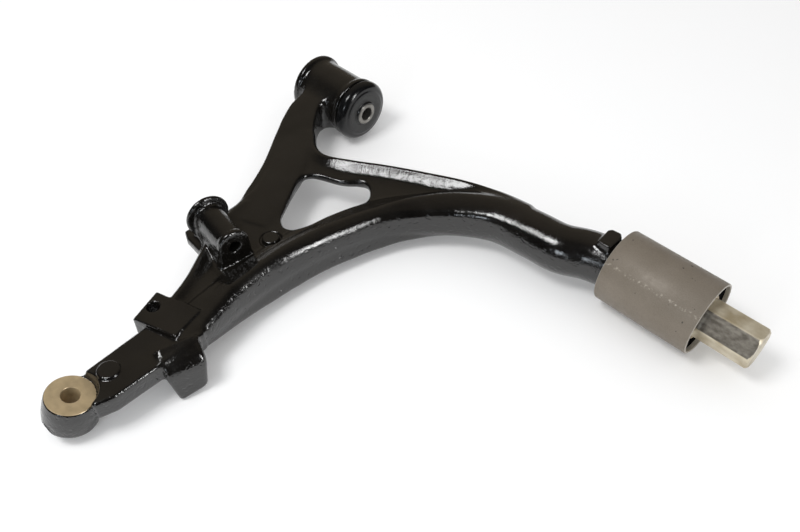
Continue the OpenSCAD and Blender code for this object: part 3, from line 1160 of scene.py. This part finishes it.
class Finish:
    """Procedural materials of the arm."""

    @staticmethod
    def paint() -> bpy.types.Material:
        """Glossy black paint over a lightly rough forging.

        Returns:
            The material.
        """
        n = Nodes("black_paint")
        cloud = n.noise(26, 4)
        n.feed("Base Color", n.ramp(cloud, 0.35, 0.65, (0.0036, 0.0032, 0.0028), (0.0070, 0.0061, 0.0050)))
        n.set(IOR=1.68)
        n.feed("Roughness", n.ramp(n.noise(60, 2), 0.35, 0.7, 0.10, 0.20))
        wall = n.ramp(n.math("ABSOLUTE", n.upward()), 0.35, 0.7, 1.0, 0.2)
        patch = n.ramp(n.noise(24, 2), 0.42, 0.6, 0.3, 1.0)
        grit = n.math("MULTIPLY", n.noise(430, 3), wall)
        pits = n.math("MULTIPLY", n.ramp(n.noise(210, 2), 0.30, 0.42, 0.0, 1.0), wall)
        fine = n.math("MULTIPLY", n.noise(760, 2), patch)
        n.bump((n.noise(40, 2), 0.35), (n.noise(170, 2), 0.10), (grit, 0.28), (pits, 0.25), (fine, 0.17))
        return n.material

    @staticmethod
    def steel(name: str, colour: Point, rough: float, metallic: float = 0.85) -> bpy.types.Material:
        """Bare steel with fine machining lines.

        Args:
            name: Material name.
            colour: Reflected colour.
            rough: Mean roughness.
            metallic: Share of bare metal.

        Returns:
            The material.
        """
        n = Nodes(name)
        n.set(Metallic=metallic)
        stain = n.noise(90, 5)
        dark = tuple(0.72 * c for c in colour)
        n.feed("Base Color", n.ramp(stain, 0.35, 0.65, dark, colour))
        n.feed("Roughness", n.ramp(n.noise(130, 3), 0.3, 0.7, rough - 0.08, rough + 0.1))
        n.bump((n.noise(900, 2, (1.0, 0.12, 0.12)), 0.03))
        return n.material

    @staticmethod
    def milled(name: str, turn: float, across: float) -> bpy.types.Material:
        """Bare journal steel whose first flat is darker and streaked.

        Args:
            name: Material name.
            turn: Angle of the darker flat about the journal, from level.
            across: Distance of the flat from the axis in millimetres.

        Returns:
            The material.
        """
        n = Nodes(name)
        n.set(Metallic=0.45)
        t = math.radians(turn)
        height = n.math("ADD", n.math("MULTIPLY", n.axis("Y"), math.cos(t)),
                        n.math("MULTIPLY", n.axis("Z"), math.sin(t)))
        flat = n.ramp(height, (across - 0.35) * MM, (across - 0.05) * MM, 0.0, 1.0)
        tan = n.ramp(n.noise(60, 4), 0.35, 0.65, (0.42, 0.35, 0.23), (0.66, 0.60, 0.47))
        streak = n.noise(260, 5, (0.55, 1.0, 1.0))
        # The first flat is coloured darker than the rest of the journal, with streaks along it.
        darker_streaked_flat = n.ramp(streak, 0.36, 0.66, (0.115, 0.10, 0.08), (0.25, 0.228, 0.19))
        n.feed("Base Color", n.mix(flat, tan, darker_streaked_flat))
        n.feed("Roughness", n.ramp(n.noise(160, 3), 0.3, 0.7, 0.3, 0.5))
        n.bump((n.noise(700, 2, (1.0, 0.15, 0.15)), 0.03), (streak, 0.05))
        return n.material

    @staticmethod
    def phosphate(radius_mm: float) -> bpy.types.Material:
        """Warm grey phosphated steel with specks, a rubbed line and worn edges.

        Args:
            radius_mm: Outside radius of the shell.

        Returns:
            The material.
        """
        n = Nodes("phosphated_steel")
        n.set(Metallic=0.15)
        cloud = n.ramp(n.noise(38, 4), 0.35, 0.7, (0.166, 0.139, 0.106), (0.205, 0.174, 0.138))
        grain = n.ramp(n.noise(1300, 2), 0.3, 0.7, (0.145, 0.122, 0.094), (0.222, 0.190, 0.152))
        skin = n.mix(0.45, cloud, grain)
        dots = n.ramp(n.noise(210, 1), 0.745, 0.765, 0.0, 1.0)
        skin = n.mix(dots, skin, (0.06, 0.053, 0.045))
        rub = n.math("MULTIPLY", n.band("Z", 0.0225, 0.0016), n.ramp(n.noise(420, 2), 0.52, 0.68, 0.0, 1.0))
        skin = n.mix(n.math("MULTIPLY", rub, 0.75), skin, (0.42, 0.38, 0.32))
        radius = n.radius()
        worn = n.ramp(radius, (radius_mm - 0.55) * MM, (radius_mm - 0.12) * MM, 1.0, 0.0)
        n.feed("Base Color", n.mix(worn, skin, (0.46, 0.43, 0.38)))
        n.feed("Roughness", n.ramp(n.noise(200, 3), 0.3, 0.7, 0.42, 0.58))
        n.bump((n.noise(1100, 2), 0.03))
        return n.material

    @staticmethod
    def rubber() -> bpy.types.Material:
        """Satin black rubber.

        Returns:
            The material.
        """
        n = Nodes("black_rubber")
        radius = n.radius()
        front = n.ramp(n.axis("X"), -0.2, -0.1, 0.0, 1.0)
        face = n.math("MULTIPLY", n.ramp(radius, 0.0205, 0.0213, 1.0, 0.0), front)
        collar = n.ramp(radius, 0.0128, 0.0142, 0.0, 1.0)
        satin = n.math("MULTIPLY", face, collar)
        pale = n.ramp(n.noise(160, 3), 0.3, 0.7, (0.016, 0.016, 0.016), (0.024, 0.024, 0.023))
        n.feed("Base Color", n.mix(satin, (0.004, 0.0042, 0.0046), pale))
        n.feed("Specular IOR Level", n.ramp(n.axis("X"), -0.2, -0.1, 0.05, 0.45))
        n.feed("Roughness", n.ramp(satin, 0.0, 1.0, 0.18, 0.5))
        n.bump((n.noise(900, 2), 0.02), (n.noise(70, 2), 0.15))
        return n.material


# ---------------------------------------------------------------- assembly


class ControlArm:
    """The whole visual model."""

    SEGMENTS = 144
    ARM_PARTS = (("arm_inboard", -1e9, 62.0), ("arm_middle", 62.0, 236.0), ("arm_outboard", 236.0, 1e9))

    def __init__(self) -> None:
        """Reads the driving sizes from the frame and makes the materials."""
        def span(node: str) -> tuple[Array, Array]:
            lo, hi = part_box(node)
            return np.array(lo) / MM, np.array(hi) / MM

        self.arm_lo, self.arm_hi = span("arm_forging")
        self.shell_lo, self.shell_hi = span("rear_bush_shell")
        self.liner_lo, self.liner_hi = span("rear_bush_liner")
        self.tube_lo, self.tube_hi = span("front_pivot_tube")
        self.disc_lo, self.disc_hi = span("front_bush_rubber")
        self.front_lo, self.front_hi = span("front_bush_shell")
        self.paint = Finish.paint()
        self.phosphate = Finish.phosphate(self.shell_hi[2])
        self.rubber = Finish.rubber()
        self.machined = Finish.steel("machined_steel", (0.52, 0.40, 0.235), 0.38, 0.35)
        self.journal_steel = Finish.milled("journal_steel", FLAT_TURN, FLAT_OFFSET)
        self.tube_steel = Finish.steel("tube_steel", (0.26, 0.25, 0.23), 0.4)
        self.front_steel = Finish.steel("bush_shell_steel", (0.34, 0.33, 0.31), 0.3)

    def turned(self, name: str, outline: list[Point], body: str, nodes: Sequence[str],
               material: bpy.types.Material, origin: Point = (0, 0, 0), axis: Array | None = None,
               sharp: float = 35, closed: bool = True) -> bpy.types.Object:
        """Adds a turned piece.

        Args:
            name: Object name.
            outline: (along, radius) points.
            body: CAD body.
            nodes: CAD nodes that it stands for.
            material: Material.
            origin: Point on the axis.
            axis: Axis direction, forward if left out.
            sharp: Angle above which an edge is sharp.
            closed: Whether the outline joins up.

        Returns:
            The object.
        """
        axis = np.array([1.0, 0, 0]) if axis is None else axis
        points, faces = turned_mesh(outline, origin, axis, self.SEGMENTS, closed)
        return add_piece(name, points, faces, body, nodes, material, sharp=sharp)

    def forging(self) -> None:
        """Adds the painted body of the arm in three parts of one skin."""
        maker = Forging(GRID, EYE_R, EYE_HALF, EYE_BORE_R)
        maker.grow()
        points, faces = maker.field.surface()
        normals = maker.field.slope(points)
        middle = points[faces[:, 0], 1]
        for name, lo, hi in self.ARM_PARTS:
            part = faces[(middle >= lo) & (middle < hi)]
            used = np.unique(part)
            number = np.zeros(len(points), int)
            number[used] = np.arange(len(used))
            add_piece(name, points[used], number[part], "arm", ["arm_forging"], self.paint,
                      normals=normals[used])
            LOG.info("%s: %d faces", name, len(part))

    def seat_face(self) -> None:
        """Adds the machined seat face and its taper."""
        s = Seat()
        outline = [(-s.depth + 1.5, s.taper_r - s.taper_loss + 0.1), (-0.5, s.taper_r), (0.0, s.taper_r + 0.5),
                   (0.0, s.face_r - 0.3), (-0.4, s.face_r + 0.15)]
        self.turned("seat_face", outline, "arm", ["arm_forging"], self.machined,
                    origin=s.centre, axis=s.axis, sharp=25, closed=False)

    def journal(self) -> None:
        """Adds the machined journal with its six milled flats."""
        r, across = JOURNAL_R, FLAT_OFFSET
        tip, start, run = -self.arm_lo[0], 453.5, 4.5
        xs = np.concatenate([[366.0, 440.0, 452.0], np.linspace(start - 1, start + run, 14),
                             np.linspace(start + run + 6, tip - 2, 4), [tip - 1.0, tip]])
        segments = 288
        t = 2 * math.pi * (np.arange(segments) + 0.5) / segments
        first = math.radians(FLAT_TURN)
        off = (t - first + math.pi / 6) % (math.pi / 3) - math.pi / 6
        rows = []
        for x in xs:
            c = np.clip((x - start) / run, 0, 1)
            plane = r - (r - across) * math.sqrt(max(1 - (1 - c) ** 2, 0)) if x > start else r
            flat = plane / np.cos(off)
            radius = np.minimum(r - max(0.0, x - tip + 2.0), flat)
            rows.append(np.stack([np.full(segments, -x), radius * np.cos(t), radius * np.sin(t)], 1))
        rows.append(np.array([[-tip, 0, 0]]))
        points = np.concatenate(rows)
        faces = []
        j = np.arange(segments)
        k = (j + 1) % segments
        for i in range(len(xs) - 1):
            faces.append(np.stack([i * segments + j, i * segments + k, (i + 1) * segments + k,
                                   (i + 1) * segments + j], 1))
        faces = np.concatenate(faces).tolist()
        base, centre = (len(xs) - 1) * segments, len(xs) * segments
        faces += [[base + int(a), base + int(b), centre] for a, b in zip(j, k)]
        add_piece("journal", points, faces, "arm", ["arm_forging"], self.journal_steel, sharp=18)

    def rear_bush(self) -> None:
        """Adds the rear bush: shell, rubber and liner."""
        r, back, front = self.shell_hi[2], self.shell_lo[0], self.shell_hi[0]
        wall, c = 2.2, 0.9
        inner = r - wall
        self.turned("rear_shell", [
            (back, inner + 0.5), (back, r - c), (back + 0.25, r - 0.35), (back + c, r), (front - c, r),
            (front - 0.25, r - 0.35), (front, r - c), (front, inner + 0.5), (front - 0.5, inner),
            (back + 0.5, inner)][::-1],
            "rear_bush", ["rear_bush_shell"], self.phosphate, sharp=30)
        core = self.liner_hi[2] + 0.05
        face_b, face_f = back + 9, front - 9
        outline = [(back + 4, inner), *arc(back + 4, inner - 5, 5, 90, 10, 5), (face_b, inner - 5),
                   (face_b, core + 4), (back + 6.5, core + 1.2), (back + 6, core), (front - 6, core),
                   (front - 6.5, core + 1.2), (face_f, core + 4), (face_f, inner - 5), (front - 4, inner)]
        self.turned("rear_rubber", outline[::-1], "rear_bush", ["rear_bush_rubber"], self.rubber,
                    sharp=50)
        lo, hi, rl, rj = self.liner_lo[0] - 1, self.liner_hi[0], self.liner_hi[2], JOURNAL_R
        self.turned("rear_liner", [(lo, rj), (lo, rl - 0.5), (lo + 0.5, rl), (hi - 0.5, rl), (hi, rl - 0.5),
                                   (hi, rj)][::-1],
                    "arm", ["rear_bush_liner"], self.machined, sharp=30)

    def front_bush(self) -> None:
        """Adds the front bush: shell, rubber and pivot tube."""
        r, back, front = EYE_BORE_R, self.front_lo[0], self.front_hi[0]
        flange = self.front_hi[2]
        inner = r - 1.8
        self.turned("front_shell", [
            (back, inner), (back, flange - 0.6), (back + 0.6, flange), (back + 1.8, flange),
            (back + 2.4, flange - 0.6), (back + 2.4, r - 0.05), (front, r - 0.05), (front, inner)][::-1],
            "arm", ["front_bush_shell"], self.front_steel, sharp=30)
        face, disc, core = self.disc_lo[0], self.disc_hi[2], 11.55
        end = self.disc_hi[0]
        dome = face - 2.4
        outline = [(dome - 1.7, core), (dome - 1.7, core + 0.8), (dome - 1.2, core + 1.3), (dome - 0.1, core + 1.6),
                   (dome + 0.4, core + 2.4), (dome, core + 3.6), (dome, disc - 9.2), (dome + 0.3, disc - 8.0),
                   (dome + 1.1, disc - 6.9), (dome + 1.3, disc - 5.6), (dome + 1.5, disc - 4.3),
                   (dome + 2.4, disc - 2.9), (dome + 4.0, disc - 1.4), (dome + 5.8, disc - 0.4),
                   (dome + 7.6, disc), (back - 1.4, disc), *arc(back - 1.4, disc - 1.2, 1.2, 90, 0, 4),
                   (back - 0.2, flange + 0.3),
                   (back, r - 3), (back, inner), (end, inner), (end - 4, core)]
        self.turned("front_rubber", outline[::-1], "arm", ["front_bush_rubber"], self.rubber, sharp=60)
        lo, hi, ro, ri = self.tube_lo[0], self.tube_hi[0], self.tube_hi[2], TUBE_BORE_R
        self.turned("pivot_tube", [
            (lo, ri + 0.5), (lo, ro - 0.7), (lo + 0.7, ro), (hi - 0.7, ro), (hi, ro - 0.7), (hi, ri + 0.5),
            (hi - 0.5, ri), (lo + 0.5, ri)][::-1],
            "front_tube", ["front_pivot_tube"], self.tube_steel, sharp=30)

    def build(self) -> None:
        """Adds every piece."""
        self.forging()
        self.seat_face()
        self.journal()
        self.rear_bush()
        self.front_bush()


# ---------------------------------------------------------------- camera, floor and light


@dataclass(frozen=True)
class Softbox:
    """Square or strip lamp that faces the arm."""

    name: str
    direction: Point
    distance: float
    width: float
    height: float
    power: float
    colour: Point = (1.0, 1.0, 1.0)
    reflected_only: bool = False

    def place(self, target: Vector) -> None:
        """Puts the lamp in the scene.

        Args:
            target: Point that it faces.
        """
        data = bpy.data.lights.new(self.name, "AREA")
        data.shape = "RECTANGLE"
        data.size, data.size_y = self.width, self.height
        data.energy = self.power
        data.color = self.colour
        lamp = bpy.data.objects.new(self.name, data)
        way = Vector(self.direction).normalized()
        lamp.location = target + way * self.distance
        lamp.rotation_euler = (-way).to_track_quat("-Z", "Y").to_euler()
        lamp.visible_camera = False
        lamp.visible_diffuse = not self.reflected_only
        bpy.context.scene.collection.objects.link(lamp)


class Studio:
    """Camera, floor, lamps and world."""

    EYE = Vector((-0.5728, 0.4956, 0.5251))
    AIM = Vector((-0.2077, 0.1127, -0.0343))
    ROLL = 0.6
    LENS = 36.81

    def camera(self) -> None:
        """Adds the camera at the viewing angle."""
        data = bpy.data.cameras.new("camera")
        data.lens = self.LENS
        data.sensor_width = 36.0
        data.clip_start, data.clip_end = 0.01, 50.0
        cam = bpy.data.objects.new("camera", data)
        turn = (self.AIM - self.EYE).to_track_quat("-Z", "Y").to_matrix()
        cam.matrix_world = Matrix.Translation(self.EYE) @ (
            turn @ Matrix.Rotation(math.radians(self.ROLL), 3, "Z")).to_4x4()
        bpy.context.scene.collection.objects.link(cam)
        bpy.context.scene.camera = cam

    def floor(self, height: float) -> None:
        """Adds the pale floor.

        Args:
            height: Level of the floor in metres.
        """
        side = 6.0
        mesh = bpy.data.meshes.new("floor")
        corners = [(-side, -side), (side, -side), (side, side), (-side, side)]
        mesh.from_pydata([(*c, height) for c in corners], [], [(0, 1, 2, 3)])
        n = Nodes("floor_white")
        n.set(Base_Color=(0.9, 0.9, 0.9, 1), Roughness=0.9, Specular_IOR_Level=0.0,
              Emission_Color=(1, 1, 1, 1), Emission_Strength=0.08)
        mesh.materials.append(n.material)
        obj = bpy.data.objects.new("floor", mesh)
        bpy.context.scene.collection.objects.link(obj)
        obj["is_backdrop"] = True

    def world(self) -> None:
        """Adds the surroundings: even for diffuse light, darker overhead in reflections."""
        world = bpy.data.worlds.new("studio")
        world.use_nodes = True
        tree = world.node_tree
        tree.nodes.clear()
        make = tree.nodes.new

        def join(a: bpy.types.NodeSocket, b: bpy.types.NodeSocket) -> None:
            tree.links.new(a, b)

        out, even, seen, mix = (make("ShaderNodeOutputWorld"), make("ShaderNodeBackground"),
                                make("ShaderNodeBackground"), make("ShaderNodeMixShader"))
        rays = make("ShaderNodeLightPath")
        coords = make("ShaderNodeTexCoord")
        toward = make("ShaderNodeVectorMath")
        toward.operation = "DOT_PRODUCT"
        toward.inputs[1].default_value = Vector((0.55, -0.58, 0.6)).normalized()
        span = make("ShaderNodeMapRange")
        span.interpolation_type = "SMOOTHSTEP"
        span.inputs["From Min"].default_value = 0.35
        span.inputs["From Max"].default_value = 0.95
        tint = make("ShaderNodeMix")
        tint.data_type = "RGBA"
        tint.inputs["A"].default_value = (0.012, 0.012, 0.014, 1)
        tint.inputs["B"].default_value = (0.20, 0.17, 0.13, 1)
        join(coords.outputs["Generated"], toward.inputs[0])
        join(toward.outputs["Value"], span.inputs["Value"])
        join(span.outputs["Result"], tint.inputs["Factor"])
        join(tint.outputs["Result"], seen.inputs["Color"])
        even.inputs["Color"].default_value = (1, 1, 1, 1)
        even.inputs["Strength"].default_value = 0.75
        join(rays.outputs["Is Glossy Ray"], mix.inputs[0])
        join(even.outputs[0], mix.inputs[1])
        join(seen.outputs[0], mix.inputs[2])
        join(mix.outputs[0], out.inputs["Surface"])
        bpy.context.scene.world = world

    def lamps(self) -> None:
        """Adds the lamps."""
        target = Vector((-0.22, 0.18, 0.0))
        for box in (
            Softbox("key", (0.155, 0.427, 0.891), 1.6, 0.5, 0.5, 11),
            Softbox("strip", (-0.864, -0.184, 0.47), 1.5, 0.22, 0.9, 12, reflected_only=True),
            Softbox("window", (-0.31, 0.85, 0.42), 1.6, 0.3, 0.3, 2.5, (0.85, 0.92, 1.0)),
        ):
            box.place(target)

    def build(self, height: float) -> None:
        """Adds everything.

        Args:
            height: Level of the floor in metres.
        """
        self.camera()
        self.floor(height)
        self.world()
        self.lamps()


def main() -> None:
    """Builds the scene."""
    logging.basicConfig(level=logging.INFO, format="%(name)s: %(message)s")
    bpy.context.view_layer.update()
    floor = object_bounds()[0][2]
    ControlArm().build()
    Studio().build(floor)
    bpy.context.scene.view_settings.view_transform = "Standard"


if __name__ == "__main__":
    main()
